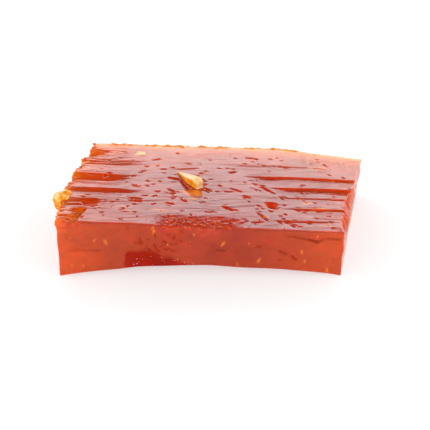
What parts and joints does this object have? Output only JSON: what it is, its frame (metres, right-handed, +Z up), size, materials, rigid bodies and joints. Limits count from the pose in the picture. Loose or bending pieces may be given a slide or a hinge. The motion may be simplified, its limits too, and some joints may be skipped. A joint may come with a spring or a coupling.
{
  "type": "piece of halwa",
  "caption": "Cut bar of glossy, translucent set halwa with pieces of cashew set in its top, back and left end.",
  "frame": {"origin": "middle of the whole bar's box, seen from above, on the surface that it rests on", "axes": "+X along the long cut front towards the thinner end, +Y from the front to the back, +Z up"},
  "size_m": [0.0923, 0.0538, 0.019],
  "materials": {
    "gel": "gloss, translucent",
    "cut_cashew": "satin",
    "coated_cashew": "gloss"
  },
  "bodies": {
    "root": {"halwa_slab": "gel", "cashew_sliver": "cut_cashew", "cashew_chunk": "coated_cashew", "cashew_chip": "cut_cashew", "cashew_back_left": "cut_cashew", "cashew_back_right": "cut_cashew", "cashew_end": "cut_cashew"}
  },
  "joints": []
}
